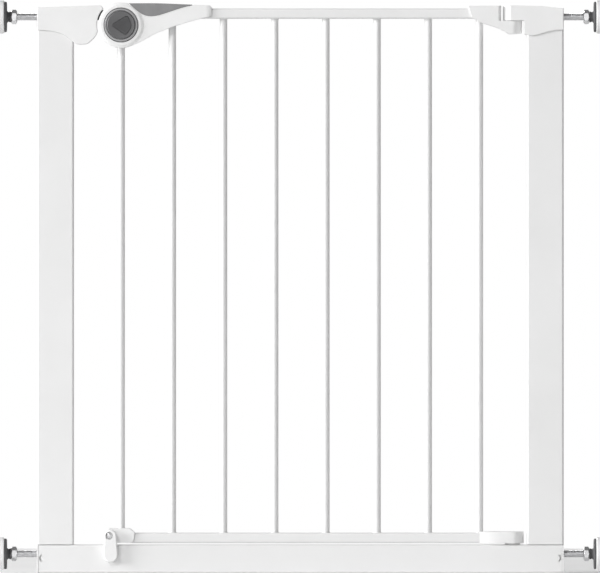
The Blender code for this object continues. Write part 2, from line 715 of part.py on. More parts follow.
def latch_housing(parent):
    """Core between the handle's two shells, which holds the rail's end and guides the bolt."""
    front = -BOLT_HALF + SEAM
    right = housing_end()
    start = math.degrees(math.asin((RAIL_TOP - 0.0004 - HUB_Z) / CORE_RADIUS))
    core = arc((HUB_X, HUB_Z), CORE_RADIUS, start, 335, 36)
    outline = [*core, (right, core[-1][1]), (right, RAIL_TOP)]
    thing = piece("latch_housing", prism(outline, front, CORE_HALF, "y"), "white_plastic", parent)
    spigot = middle_box(RAIL_HALF - TUBE_WALL - 0.0024, RAIL_HEIGHT / 2 - TUBE_WALL - SEAM, 0.001, RAIL_LINE)
    join(thing, prism(spigot, right - 0.002, right + 0.010, "x"))
    half = BOLT_HEIGHT / 2 + BOLT_CLEARANCE
    spring_end = right - 0.0035
    levels = (bolt_line() - half, bolt_line() + half)
    cut(thing, block((HUB_X - 0.05, spring_end), (front - 0.002, BOLT_HALF + BOLT_CLEARANCE), levels))
    cut(thing, rod(BAR_RADIUS + SEAM, -0.04, -0.0180, (HUB_X, 0, HUB_Z), "z", 16))
    cut(thing, rod(PIVOT_RADIUS + PIN_CLEARANCE, -0.02, 0.02, (HUB_X, 0, HUB_Z), "y", 20))


def latch_bolt(parent):
    """Sliding bolt, with a forked tail that the handle's peg draws back."""
    line, half = bolt_line(), BOLT_HEIGHT / 2
    tip, tail = HUB_X - BOLT_REACH, HUB_X + BOLT_TAIL
    plan = [(tip, -BOLT_HALF), (tail, -BOLT_HALF), (tail, BOLT_HALF)]
    plan += [(tip + 0.004, BOLT_HALF), (tip, BOLT_HALF - 0.004)]
    thing = piece("latch_bolt", prism(plan, line - half, line + half, "z"), "dark_grey_plastic", parent)
    peg_z = HUB_Z - peg_distance()
    fork = PEG_RADIUS + PEG_CLEARANCE
    strip_left, strip_right = HUB_X - 0.0231, HUB_X - 0.0141
    base = peg_z - 0.0034
    crown = peg_z + 0.0071
    outline = [
        (strip_left, line + half - 0.001),
        (strip_left, HUB_Z - 0.0095),
        (HUB_X - 0.0111, base),
        (HUB_X - fork, base),
        (HUB_X - fork, peg_z + 0.0046),
        (HUB_X + fork, peg_z + 0.0046),
        (HUB_X + fork, base),
        (HUB_X + fork + 0.0037, base),
        (HUB_X + fork + 0.0037, crown),
        (HUB_X - 0.0061, crown),
        (strip_right, HUB_Z - 0.0055),
        (strip_right, line + half - 0.001),
    ]
    join(thing, prism(outline, -CORE_HALF, -BOLT_HALF + 0.0002, "y"))


def peg_distance():
    """Hub centre to the peg that draws the bolt: its travel over the handle's lift."""
    return BOLT_TRAVEL / HANDLE_LIFT


def bolt_spring(parent):
    start, end = HUB_X + BOLT_TAIL + SEAM, housing_end() - 0.0035 - SEAM
    outer = BOLT_HEIGHT / 2 - 0.0012
    inner = outer - SPRING_WIRE
    piece("bolt_spring", ring(inner, outer, start, end, (0, 0, bolt_line()), "x", 16), "spring_steel", parent)


def lever_top(steps=4):
    """Upper edge of the handle, from the hub's crown to the lever's tip."""
    tip = HUB_X + LEVER_LENGTH
    crown = HUB_Z + HUB_RADIUS - 0.0015
    start = [(HUB_X + 0.327 * HUB_RADIUS, crown), (HUB_X + 0.0500, crown)]
    return smooth([*start, (HUB_X + 0.0965, CAP_TOP + 0.0009), (tip - 0.003, CAP_TOP)], steps)


def lever_bottom():
    """Lower edge of the lever, from its tip back to the hub."""
    points = [(0.1191, 0.0112), (0.1096, 0.0096), (0.0742, -0.0007), (0.0463, -0.0113)]
    points += [(0.938 * HUB_RADIUS, -0.680 * HUB_RADIUS), (0.430 * HUB_RADIUS, -0.903 * HUB_RADIUS)]
    return smooth([(HUB_X + u, HUB_Z + v) for u, v in points], 3)


def lever_outline():
    """Front view of the handle: the hub's round and the lever in one line."""
    tip = HUB_X + LEVER_LENGTH
    start = math.degrees(math.atan2(-0.903, 0.430))
    hub = arc((HUB_X, HUB_Z), HUB_RADIUS - OVERLAP, 360 + start, 71, 40)
    return [*lever_top(), (tip, CAP_TOP - 0.0030), (tip, CAP_TOP - 0.0130), *lever_bottom()[:-1], *hub[:-1]]


def crown_outline():
    """Roof of the handle: the hub's upper rim and the lever's top wall."""
    tip = HUB_X + LEVER_LENGTH
    ceiling = RAIL_TOP + 0.0008
    bend = math.degrees(math.asin((ceiling - HUB_Z) / RIM_RADIUS))
    outer = arc((HUB_X, HUB_Z), HUB_RADIUS - OVERLAP, 108, 75, 5)
    inner = arc((HUB_X, HUB_Z), RIM_RADIUS, bend, 108, 8)
    return [*outer, *lever_top(), (tip, CAP_TOP - 0.0030), (tip, ceiling), *inner]


def inlay_outline(grow=0.0):
    """Grip panel: between the lever's top edge and a curve that dips from the hub to near the tip."""
    shares = ((0.324, 0.971), (0.595, 0.735), (0.835, 0.537), (1.045, 0.434), (1.311, 0.388))
    points = [(u * HUB_RADIUS, v * HUB_RADIUS) for u, v in shares]
    points += [(0.0511, 0.0134), (0.0626, 0.0170), (0.0749, 0.0211), (0.0860, 0.0245), (0.0965, 0.0272)]
    dip = smooth([(HUB_X + u, HUB_Z + v - grow) for u, v in points], 2)
    top = CAP_TOP + 0.020
    return [(dip[0][0] - grow, top), *dip, (dip[-1][0] + grow, top)]


def roof_line(drop, rise=0.02):
    """Everything above the lever's top edge less a thickness, over the inlay's length."""
    edge = [(u, v - drop) for u, v in lever_top() if u < HUB_X + 0.0972]
    return [*edge, (edge[-1][0], CAP_TOP + rise), (edge[0][0], CAP_TOP + rise)]


def handle_shell(name, side, parent):
    """Front (side -1) or rear (side 1) half of the handle."""
    face = side * LEVER_FRONT
    inner = side * (LEVER_FRONT - LEVER_WALL)
    hub_face = side * (HUB_FRONT if side < 0 else HUB_BACK)
    floor = side * SHELL_INNER
    centre = (HUB_X, 0, HUB_Z)
    thing = piece(name, prism(lever_outline(), *sorted((face, inner)), "y"), "white_plastic", parent)
    join(thing, prism(crown_outline(), *sorted((side * SEAM / 2, face)), "y"))
    if side < 0:
        # the button's dish goes into a round window cut through the wall
        cut(thing, rod(HUB_BORE + 0.0010, -0.03, inner + 0.001, centre, "y", 36))
        dish = [
            (0, floor),
            (HUB_RADIUS, floor),
            (HUB_RADIUS, face - 0.0001),
            (HUB_RADIUS - 0.0022, face - 0.0007),
            (HUB_RADIUS - 0.0045, hub_face),
            (HUB_BORE, hub_face),
            (HUB_BORE, floor - HUB_FLOOR),
            (0, floor - HUB_FLOOR),
        ]
        join(thing, turned(dish, centre, "y", 36))
        peg = (HUB_X, 0, HUB_Z - peg_distance())
        join(thing, rod(PEG_RADIUS, floor - 0.001, -BOLT_HALF, peg, "y", 12))
    else:
        join(thing, rod(HUB_RADIUS, floor, hub_face, centre, "y", 36))
    cut(thing, rod(PIVOT_RADIUS + PIN_CLEARANCE, -0.03, 0.03, centre, "y", 20), tip_corner(side))
    grown = inlay_outline(SEAM)
    layer = side * (LEVER_FRONT - INLAY_THICKNESS - SEAM)
    cut(thing, prism(grown, *sorted((layer, side * 0.03)), "y"))
    cut(thing, prism(roof_line(INLAY_THICKNESS + SEAM), -0.03, 0.03, "y"))


def tip_corner(side):
    """What the round of the lever's tip takes off its outer edge, in plan."""
    tip, depth = HUB_X + LEVER_LENGTH, LEVER_WALL - 0.0003
    quarter = arc((0, 0), 1, 0, 90, 8)
    round_end = [
        (tip - TIP_ROUND * (1 - u), side * (LEVER_FRONT - depth * (1 - v))) for u, v in quarter
    ]
    outside = side * (LEVER_FRONT + 0.002)
    first, last = round_end[0], round_end[-1]
    corner = [(tip + 0.002, first[1]), *round_end, (last[0], outside), (tip + 0.002, outside)]
    return prism(corner, CAP_TOP - 0.03, CAP_TOP + 0.01, "z")


def grip_inlay(parent):
    """Soft grey saddle over the lever: both sides and the top."""
    half = LEVER_FRONT + 0.0003
    thing = piece("grip_inlay", prism(inlay_outline(), -half, half, "y"), "grey_plastic", parent)
    shape_with(thing, prism(under_roof(), -0.03, 0.03, "y"), "INTERSECT")
    side = LEVER_FRONT - INLAY_THICKNESS
    inside = [(u, v - INLAY_THICKNESS) for u, v in lever_top()]
    low = HUB_Z - 0.01
    room = [*inside, (inside[-1][0], low), (inside[0][0] - 0.004, low), (inside[0][0] - 0.004, inside[0][1])]
    cut(thing, prism(room, -side, side, "y"))


def under_roof():
    """Everything below the lever's top edge, over the inlay's length."""
    edge = [(u, v + 0.0001) for u, v in lever_top() if u < HUB_X + 0.0966]
    low = HUB_Z - 0.01
    return [*edge, (edge[-1][0], low), (edge[0][0] + 0.0005, low), (edge[0][0] + 0.0005, edge[0][1])]


def handle_pivot(parent):
    front, back = -SHELL_INNER - HUB_FLOOR - SEAM, HUB_BACK - 0.0004
    head = [(0, front - 0.0012), (0.0065, front - 0.0012), (0.0065, front)]
    profile = [*head, (PIVOT_RADIUS, front), (PIVOT_RADIUS, back), (0, back)]
    piece("handle_pivot", turned(profile, (HUB_X, 0, HUB_Z), "y", 24), "zinc", parent)


def bezel_ring(parent):
    start = SHELL_INNER + HUB_FLOOR + SEAM
    profile = [
        (RING_INNER, -start),
        (RING_INNER, -RING_FRONT + 0.0006),
        (RING_INNER + 0.0006, -RING_FRONT),
        (HUB_BORE - 0.0010, -RING_FRONT),
        (HUB_BORE - 0.0004, -RING_FRONT + 0.0006),
        (HUB_BORE - 0.0004, -start),
    ]
    piece("bezel_ring", turned(profile, (HUB_X, 0, HUB_Z), "y", 36), "light_grey_plastic", parent)


def triangle_outline():
    """Rounded triangle that points at the latch post."""
    tip = arc((HUB_X - 0.0100, HUB_Z), 0.0023, 215, 145, 4)
    top = arc((HUB_X + 0.0070, HUB_Z + 0.0092), 0.0035, 115, 25, 5)
    low = arc((HUB_X + 0.0070, HUB_Z - 0.0096), 0.0035, 335, 245, 5)
    return [*tip, *top, (HUB_X + 0.0142, HUB_Z), *low]


def thumb_button(parent):
    """Round push button with a skirt and a sunk triangle."""
    back = -BUTTON_FRONT + BUTTON_THICKNESS
    profile = [
        (0, -BUTTON_FRONT),
        (BUTTON_RADIUS - 0.0010, -BUTTON_FRONT),
        (BUTTON_RADIUS, -BUTTON_FRONT + 0.0010),
        (BUTTON_RADIUS, back + 0.0013),
        (BUTTON_RADIUS - 0.0030, back + 0.0013),
        (BUTTON_RADIUS - 0.0030, back),
        (0, back),
    ]
    thing = piece("thumb_button", turned(profile, (HUB_X, 0, HUB_Z), "y", 32), "dark_grey_plastic", parent)
    cut(thing, prism(triangle_outline(), -BUTTON_FRONT - 0.002, -BUTTON_FRONT + TRIANGLE_DEPTH, "y"))


def button_spring(parent):
    start = -BUTTON_FRONT + BUTTON_THICKNESS + SEAM
    end = -SHELL_INNER - HUB_FLOOR - SEAM
    coil = ring(0.0085, 0.0085 + SPRING_WIRE, start, end, (HUB_X, 0, HUB_Z), "y", 20)
    piece("button_spring", coil, "spring_steel", parent)


# Wall fittings


def hexagon(centre, flats):
    """Six corners with a flat to the front."""
    return [(v, u) for u, v in circle(centre[::-1], flats / math.sqrt(3), 6)]


def wall_fitting(corner, side, height):
    """Spindle with its nut, rubber pad and wall cup; side is -1 for the left wall."""
    slide = empty(f"{corner}_slide_axis", (side * HALF_WIDTH, 0, height))
    screw = empty(f"{corner}_screw_axis", (side * HALF_WIDTH, 0, height), slide)
    nut_start = HALF_WIDTH + NUT_FACE
    nut_end = nut_start + NUT_THICKNESS
    neck_end = nut_end + SEAM + NECK_LENGTH
    pad_end = neck_end + PAD_THICKNESS
    cup_start = pad_end + SEAM
    cup_end = cup_start + CUP_THICKNESS
    line = (0, 0, height)
    bore = SPINDLE_RADIUS + SEAM
    rod_end = neck_end + 0.0010
    ends = sorted((side * (HALF_WIDTH - SPINDLE_INSIDE), side * rod_end))
    piece(f"{corner}_spindle", rod(SPINDLE_RADIUS, *ends, line, "x", 20), "zinc", screw)
    faces = sorted((side * nut_start, side * nut_end))
    nut = piece(f"{corner}_nut", prism(hexagon((0, height), NUT_FLATS), *faces, "x"), "zinc", screw)
    cut(nut, rod(bore, side * (nut_start - 0.002), side * (nut_end + 0.002), line, "x", 20))
    boss = CUP_RECESS - 0.0008
    pad = [
        (bore, nut_end + SEAM),
        (NECK_RADIUS, nut_end + SEAM),
        (NECK_RADIUS, neck_end),
        (PAD_RADIUS - 0.0008, neck_end),
        (PAD_RADIUS, neck_end + 0.0010),
        (PAD_RADIUS, pad_end),
        (PAD_RADIUS - 0.0045, pad_end),
        (PAD_RADIUS - 0.0045, pad_end + boss),
        (0, pad_end + boss),
        (0, rod_end + SEAM),
        (bore, rod_end + SEAM),
    ]
    pad = [(radius, side * distance) for radius, distance in pad]
    piece(f"{corner}_pad", turned_open(pad, line), "rubber", slide)
    cup = [
        (CUP_HOLE, cup_start + CUP_RECESS),
        (PAD_RADIUS - 0.0042, cup_start + CUP_RECESS),
        (PAD_RADIUS - 0.0042, cup_start),
        (CUP_RADIUS - 0.0012, cup_start),
        (CUP_RADIUS, cup_start + 0.0012),
        (CUP_RADIUS, cup_end),
        (CUP_HOLE, cup_end),
    ]
    cup = [(radius, side * distance) for radius, distance in cup]
    piece(f"{corner}_wall_cup", turned(cup, line, "x", 24), "white_plastic", slide)


def turned_open(profile, centre):
    """Turned solid whose profile touches the axis between two points of it, for a blind bore."""
    first = next(i for i, (radius, _) in enumerate(profile) if radius == 0)
    return turned([*profile[first + 1 :], *profile[: first + 1]], centre, "x", 20)


def build_frame():
    sill()
    for side, name in ((-1, "left"), (1, "right")):
        sill_plug(f"sill_plug_{name}", side)
        post(f"post_tube_{name}", side)
        bush(f"post_bush_{name}", side, RAIL_LINE - TOP_SPINDLE_DROP, TUBE_WALL + SEAM)
        bush(f"sill_bush_{name}", side, LOW_SPINDLE_HEIGHT, PLUG_FLANGE + 0.003 + SEAM)
        cap_screw(f"cap_screw_{name}", side)
    latch_cap()
    strike_plate()
    hinge_cap()
    hinge_pins()


def build_door():
    door = empty("door_hinge_axis", (HINGE_X, 0, 0))
    rail("top_rail", housing_end() + SEAM, bracket_left() + 0.0120 - SEAM, RAIL_LINE, door)
    rail("bottom_rail", latch_foot_seat() + SEAM, foot_left() - SEAM, low_rail_line(), door)
    bars(door)
    hinge_bracket(door)
    hinge_foot(door)
    latch_foot(door)
    stop_tab_pin(door)
    latch_housing(door)
    handle_pivot(door)
    stop_tab(empty("stop_tab_axis", (TAB_X, 0, TAB_PIVOT_HEIGHT), door))
    slide = empty("latch_bolt_axis", (HUB_X, 0, bolt_line()), door)
    latch_bolt(slide)
    bolt_spring(door)
    handle = empty("handle_axis", (HUB_X, 0, HUB_Z), door)
    handle_shell("handle_front_shell", -1, handle)
    handle_shell("handle_rear_shell", 1, handle)
    grip_inlay(handle)
    bezel_ring(handle)
    button_spring(handle)
    thumb_button(empty("thumb_button_axis", (HUB_X, -BUTTON_FRONT, HUB_Z), handle))


def build_wall_fittings():
    for side, across in ((-1, "left"), (1, "right")):
        wall_fitting(f"upper_{across}", side, RAIL_LINE - TOP_SPINDLE_DROP)
        wall_fitting(f"lower_{across}", side, LOW_SPINDLE_HEIGHT)


clear_scene()
build_frame()
build_door()
build_wall_fittings()
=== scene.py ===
import math

import bmesh
import bpy
from mathutils import Matrix, Vector


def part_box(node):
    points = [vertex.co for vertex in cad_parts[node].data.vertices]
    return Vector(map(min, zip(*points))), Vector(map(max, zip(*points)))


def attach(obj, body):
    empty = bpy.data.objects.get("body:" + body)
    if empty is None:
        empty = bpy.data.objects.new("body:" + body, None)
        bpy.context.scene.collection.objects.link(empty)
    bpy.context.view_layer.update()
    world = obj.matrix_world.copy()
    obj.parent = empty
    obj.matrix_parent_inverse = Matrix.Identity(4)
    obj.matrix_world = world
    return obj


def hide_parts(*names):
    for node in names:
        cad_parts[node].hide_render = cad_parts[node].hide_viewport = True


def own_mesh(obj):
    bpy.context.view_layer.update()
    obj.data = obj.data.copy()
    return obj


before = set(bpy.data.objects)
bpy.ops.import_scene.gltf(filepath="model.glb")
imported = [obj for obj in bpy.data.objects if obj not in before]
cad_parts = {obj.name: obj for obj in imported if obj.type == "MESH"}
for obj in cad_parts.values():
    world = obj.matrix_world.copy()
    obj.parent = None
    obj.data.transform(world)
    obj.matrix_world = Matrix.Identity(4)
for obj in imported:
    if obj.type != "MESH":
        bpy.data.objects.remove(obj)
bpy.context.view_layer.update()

# Camera, lights and floor

VIEW_WIDTH = 0.8136
CAMERA_DISTANCE = 20.0
CAMERA_REACH = 60
SENSOR_WIDTH = 36  # millimetres
AIM = Vector((-0.0004, 0.0, 0.3885))

GLOW_SIDE = Vector((-0.10, -0.98, 0.10)).normalized()  # the side on which the air is bright
GLOW_RIM, GLOW_CORE = 0.86, 0.98  # cosines of the angle to that side
DIM_AIR, BRIGHT_AIR = 0.215, 1.20

LAMP_AIM = Vector((0, 0, 0.38))
LAMPS = (  # name, place, size, power
    ("key_light", (-12.0, -3.0, 2.9), 4.5, 1450),
    ("top_light", (-5.0, -7.0, 7.0), 3.0, 385),
    ("back_light", (-3.5, 9.0, 3.5), 3.0, 330),
)

FLOOR_SIZE = 3.8
FLOOR_DROP = 0.0006
FLOOR_GLOW = 0.13


def studio():
    scene = bpy.context.scene
    scene.view_settings.view_transform = "Standard"
    scene.view_settings.look = "None"
    stand = AIM + Vector((0, -CAMERA_DISTANCE, 0))
    bpy.ops.object.camera_add(location=stand, rotation=(math.pi / 2, 0, 0))
    camera = bpy.context.object
    camera.name = "camera"
    camera.data.sensor_width = SENSOR_WIDTH
    camera.data.lens = SENSOR_WIDTH * CAMERA_DISTANCE / VIEW_WIDTH
    camera.data.dof.use_dof = False
    camera.data.clip_end = CAMERA_REACH
    scene.camera = camera
    scene.world = studio_air()
    lamps()
    floor()


def studio_air():
    """Soft light, brightest from in front, with a white backdrop for the camera."""
    world = bpy.data.worlds.new("studio_air")
    world.use_nodes = True
    nodes, links = world.node_tree.nodes, world.node_tree.links
    view = nodes.new("ShaderNodeTexCoord")
    lean = nodes.new("ShaderNodeVectorMath")
    lean.operation = "DOT_PRODUCT"
    lean.inputs[1].default_value = GLOW_SIDE
    links.new(view.outputs["Generated"], lean.inputs[0])
    fall = nodes.new("ShaderNodeMapRange")
    fall.inputs["From Min"].default_value = GLOW_RIM
    fall.inputs["From Max"].default_value = GLOW_CORE
    fall.inputs["To Min"].default_value = DIM_AIR
    fall.inputs["To Max"].default_value = BRIGHT_AIR
    links.new(lean.outputs["Value"], fall.inputs["Value"])
    air = nodes["Background"]
    air.inputs["Color"].default_value = (1, 1, 1, 1)
    links.new(fall.outputs["Result"], air.inputs["Strength"])
    backdrop = nodes.new("ShaderNodeBackground")
    backdrop.inputs["Color"].default_value = (1, 1, 1, 1)
    backdrop.inputs["Strength"].default_value = 1.0
    rays = nodes.new("ShaderNodeLightPath")
    mix = nodes.new("ShaderNodeMixShader")
    links.new(rays.outputs["Is Camera Ray"], mix.inputs["Fac"])
    links.new(air.outputs["Background"], mix.inputs[1])
    links.new(backdrop.outputs["Background"], mix.inputs[2])
    links.new(mix.outputs["Shader"], nodes["World Output"].inputs["Surface"])
    return world


def lamps():
    for name, place, size, power in LAMPS:
        place = Vector(place)
        bpy.ops.object.light_add(type="AREA", location=place)
        lamp = bpy.context.object
        lamp.name = name
        lamp.data.size = size
        lamp.data.energy = power
        lamp.rotation_euler = (LAMP_AIM - place).to_track_quat("-Z", "Y").to_euler()


def floor():
    bpy.ops.mesh.primitive_plane_add(size=FLOOR_SIZE, location=(0, 0, -FLOOR_DROP))
    sheet = bpy.context.object
    sheet.name = "studio_floor"
    material, nodes, links, shader = new_material("studio_floor_paint")
    pattern = noise(nodes, links, 3.0, 3)
    tint(nodes, links, shader, pattern, (0.78, 0.78, 0.78), (0.82, 0.82, 0.82))
    shader.inputs["Roughness"].default_value = 0.9
    shader.inputs["Emission Color"].default_value = (1, 1, 1, 1)
    shader.inputs["Emission Strength"].default_value = FLOOR_GLOW
    sheet.data.materials.append(material)


# Materials


def new_material(name):
    material = bpy.data.materials.new(name)
    material.use_nodes = True
    tree = material.node_tree
    return material, tree.nodes, tree.links, tree.nodes["Principled BSDF"]


def noise(nodes, links, scale, detail=2.0, stretch=(1, 1, 1), kind="ShaderNodeTexNoise"):
    """Pattern on the object's own metres."""
    place = nodes.new("ShaderNodeTexCoord")
    fit = nodes.new("ShaderNodeMapping")
    fit.inputs["Scale"].default_value = stretch
    pattern = nodes.new(kind)
    pattern.inputs["Scale"].default_value = scale
    if kind == "ShaderNodeTexNoise":
        pattern.inputs["Detail"].default_value = detail
    links.new(place.outputs["Object"], fit.inputs["Vector"])
    links.new(fit.outputs["Vector"], pattern.inputs["Vector"])
    return pattern.outputs[0]


def tint(nodes, links, shader, pattern, dark, light):
    ramp = nodes.new("ShaderNodeValToRGB")
    ramp.color_ramp.elements[0].position = 0.3
    ramp.color_ramp.elements[1].position = 0.7
    ramp.color_ramp.elements[0].color = (*dark, 1)
    ramp.color_ramp.elements[1].color = (*light, 1)
    links.new(pattern, ramp.inputs["Fac"])
    links.new(ramp.outputs["Color"], shader.inputs["Base Color"])


def sheen_range(nodes, links, shader, pattern, low, high):
    """Roughness that wanders between two values."""
    spread = nodes.new("ShaderNodeMapRange")
    spread.inputs["From Min"].default_value = 0.3
    spread.inputs["From Max"].default_value = 0.7
    spread.inputs["To Min"].default_value = low
    spread.inputs["To Max"].default_value = high
    links.new(pattern, spread.inputs["Value"])
    links.new(spread.outputs["Result"], shader.inputs["Roughness"])


def grain(nodes, links, shader, patterns):
    """Stack of bumps: (pattern, strength, height in metres)."""
    last = None
    for pattern, strength, height in patterns:
        bump = nodes.new("ShaderNodeBump")
        bump.inputs["Strength"].default_value = strength
        bump.inputs["Distance"].default_value = height
        links.new(pattern, bump.inputs["Height"])
        if last:
            links.new(last, bump.inputs["Normal"])
        last = bump.outputs["Normal"]
    links.new(last, shader.inputs["Normal"])


def powder_coat():
    """White paint baked on steel tube, with a fine orange peel."""
    material, nodes, links, shader = new_material("powder_coat_white")
    tint(nodes, links, shader, noise(nodes, links, 7, 4), (0.815, 0.815, 0.813), (0.85, 0.85, 0.85))
    sheen_range(nodes, links, shader, noise(nodes, links, 45, 3), 0.30, 0.42)
    peel = noise(nodes, links, 420, 2)
    speck = noise(nodes, links, 1500, 2)
    grain(nodes, links, shader, [(peel, 0.35, 0.00012), (speck, 0.15, 0.00005)])
    shader.inputs["Coat Weight"].default_value = 0.18
    shader.inputs["Coat Roughness"].default_value = 0.25
    return material


def moulded(name, dark, light, low, high, fine=1900, strength=0.30):
    """Moulded plastic with an etched satin skin."""
    material, nodes, links, shader = new_material(name)
    tint(nodes, links, shader, noise(nodes, links, 24, 4), dark, light)
    sheen_range(nodes, links, shader, noise(nodes, links, 90, 3), low, high)
    skin = noise(nodes, links, fine, 3)
    flow = noise(nodes, links, 70, 2)
    grain(nodes, links, shader, [(flow, 0.12, 0.00020), (skin, strength, 0.00006)])
    shader.inputs["IOR"].default_value = 1.49
    return material


def soft_grip():
    """Grey rubbery skin with a pebbled texture."""
    material, nodes, links, shader = new_material("soft_grip_grey")
    tint(nodes, links, shader, noise(nodes, links, 60, 4), (0.232, 0.232, 0.236), (0.275, 0.275, 0.280))
    sheen_range(nodes, links, shader, noise(nodes, links, 150, 3), 0.52, 0.68)
    pebbles = noise(nodes, links, 900, 2, kind="ShaderNodeTexVoronoi")
    skin = noise(nodes, links, 2600, 2)
    grain(nodes, links, shader, [(pebbles, 0.45, 0.00012), (skin, 0.2, 0.00004)])
    shader.inputs["Sheen Weight"].default_value = 0.12
    return material


def rubber():
    material, nodes, links, shader = new_material("pad_rubber")
    tint(nodes, links, shader, noise(nodes, links, 110, 5), (0.085, 0.085, 0.088), (0.120, 0.120, 0.124))
    sheen_range(nodes, links, shader, noise(nodes, links, 220, 3), 0.62, 0.85)
    skin = noise(nodes, links, 1300, 3)
    grain(nodes, links, shader, [(skin, 0.4, 0.00010)])
    return material


def zinc(name, dark, light, low, high):
    """Bright zinc plating, slightly cloudy, with fine machining marks round the rod."""
    material, nodes, links, shader = new_material(name)
    tint(nodes, links, shader, noise(nodes, links, 260, 4), dark, light)
    sheen_range(nodes, links, shader, noise(nodes, links, 420, 3), low, high)
    marks = noise(nodes, links, 900, 2, stretch=(6, 1, 1))
    grain(nodes, links, shader, [(marks, 0.12, 0.00004)])
    shader.inputs["Metallic"].default_value = 1.0
    return material


PAINT = powder_coat()
PLASTIC = moulded("moulded_white", (0.855, 0.855, 0.853), (0.885, 0.885, 0.884), 0.36, 0.48)
GRIP = soft_grip()
RING = moulded("satin_light_grey", (0.335, 0.335, 0.340), (0.375, 0.375, 0.380), 0.30, 0.42, 2400, 0.2)
BUTTON = moulded("button_grey", (0.110, 0.110, 0.113), (0.134, 0.134, 0.137), 0.42, 0.55)
ARROW = moulded("arrow_dark_grey", (0.060, 0.060, 0.062), (0.075, 0.075, 0.078), 0.40, 0.52)
BOLT = moulded("bolt_dark_grey", (0.110, 0.110, 0.113), (0.135, 0.135, 0.139), 0.42, 0.56)
RUBBER = rubber()
ZINC = zinc("zinc_plate", (0.74, 0.74, 0.75), (0.84, 0.84, 0.85), 0.22, 0.34)
# Darker copy of the zinc plating for the threads: its lower colour is painted shade that dims the rods, and
# its higher roughness softens their glints.
SHADED_THREAD_ZINC = zinc("zinc_thread_painted_shade", (0.64, 0.64, 0.65), (0.74, 0.74, 0.75), 0.30, 0.42)
SPRING = zinc("spring_wire", (0.42, 0.42, 0.43), (0.52, 0.52, 0.53), 0.26, 0.38)

# Modelling


AXES = {
    "x": lambda u, v, t: Vector((t, u, v)),
    "y": lambda u, v, t: Vector((u, t, v)),
    "z": lambda u, v, t: Vector((u, v, t)),
}


def grab(piece):
    """Makes the piece the only selected and active object."""
    clear()
    bpy.context.view_layer.objects.active = piece
    piece.select_set(True)


def clear():
    if bpy.context.mode != "OBJECT":
        bpy.ops.object.mode_set(mode="OBJECT")
    bpy.ops.object.select_all(action="DESELECT")


def named(name):
    """The primitive just added, with its place moved into its mesh."""
    piece = bpy.context.object
    piece.name = piece.data.name = name
    bpy.ops.object.transform_apply(location=True, rotation=True, scale=True)
    return piece


def edit(piece):
    grab(piece)
    bpy.ops.object.mode_set(mode="EDIT")


def pick(piece, kind, test):
    """In edit mode, selects only the corners, edges or faces that pass the test.

    The test gets a corner's place, an edge, or a face's normal.
    """
    bpy.context.tool_settings.mesh_select_mode = (kind == "corner", kind == "edge", kind == "face")
    mesh = bmesh.from_edit_mesh(piece.data)
    for part in (*mesh.verts, *mesh.edges, *mesh.faces):
        part.select = False
    if kind == "corner":
        found = [v for v in mesh.verts if test(v.co)]
    elif kind == "edge":
        found = [e for e in mesh.edges if test(e)]
    else:
        found = [f for f in mesh.faces if test(f.normal)]
    for part in found:
        part.select_set(True)
    bmesh.update_edit_mesh(piece.data)


def leave():
    bpy.ops.mesh.select_all(action="SELECT")
    bpy.ops.mesh.normals_make_consistent(inside=False)
    bpy.ops.object.mode_set(mode="OBJECT")


def apply(piece, modifier):
    grab(piece)
    bpy.ops.object.modifier_apply(modifier=modifier.name)


def slab(name, outline, start, end, along="y"):
    """Flat outline drawn from a circle's corners and extruded along an axis."""
    clear()
    bpy.ops.mesh.primitive_circle_add(vertices=len(outline), radius=0.01, fill_type="NGON")
    piece = named(name)
    for corner, (u, v) in zip(piece.data.vertices, outline):
        corner.co = AXES[along](u, v, start)
    edit(piece)
    bpy.ops.mesh.select_all(action="SELECT")
    move = AXES[along](0, 0, end - start)
    bpy.ops.mesh.extrude_region_move(TRANSFORM_OT_translate={"value": move})
    leave()
    return piece


def spun(name, profile, centre, along, steps=64):
    """Closed profile of (radius, distance) points spun about an axis."""
    clear()
    bpy.ops.mesh.primitive_circle_add(vertices=len(profile), radius=0.01, fill_type="NOTHING")
    piece = named(name)
    for corner, (radius, distance) in zip(piece.data.vertices, profile):
        corner.co = AXES[along](radius, 0, distance)
    edit(piece)
    bpy.ops.mesh.select_all(action="SELECT")
    axis = AXES[along](0, 0, 1)
    bpy.ops.mesh.spin(steps=steps, angle=math.tau, center=(0, 0, 0), axis=axis, use_auto_merge=True)
    bpy.ops.mesh.select_all(action="SELECT")
    bpy.ops.mesh.remove_doubles(threshold=1e-6)
    bpy.ops.mesh.dissolve_degenerate(threshold=1e-7)
    leave()
    piece.data.transform(Matrix.Translation(centre))
    return piece


def carve(piece, *cutters, operation="DIFFERENCE"):
    for cutter in cutters:
        modifier = piece.modifiers.new("cut", "BOOLEAN")
        modifier.operation = operation
        modifier.solver = "EXACT"
        modifier.object = cutter
        apply(piece, modifier)
        bpy.data.objects.remove(cutter, do_unlink=True)


def soften(piece, width, segments=3, angle=35):
    """Rounds the sharp edges, then shades flats flat and rounds round."""
    bevel = piece.modifiers.new("rounding", "BEVEL")
    bevel.width = width
    bevel.segments = segments
    bevel.limit_method = "ANGLE"
    bevel.angle_limit = math.radians(angle)
    bevel.miter_outer = "MITER_ARC"
    apply(piece, bevel)
    shade(piece)
    return piece


def shade(piece, angle=40):
    grab(piece)
    bpy.ops.object.shade_smooth_by_angle(angle=math.radians(angle))
    weigh = piece.modifiers.new("flats", "WEIGHTED_NORMAL")
    weigh.keep_sharp = True
    weigh.weight = 80
    apply(piece, weigh)


def finished(piece, body, slot, material, *nodes):
    piece.data.materials.clear()
    piece.data.materials.append(material)
    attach(piece, body)
    if nodes:
        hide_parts(*nodes)


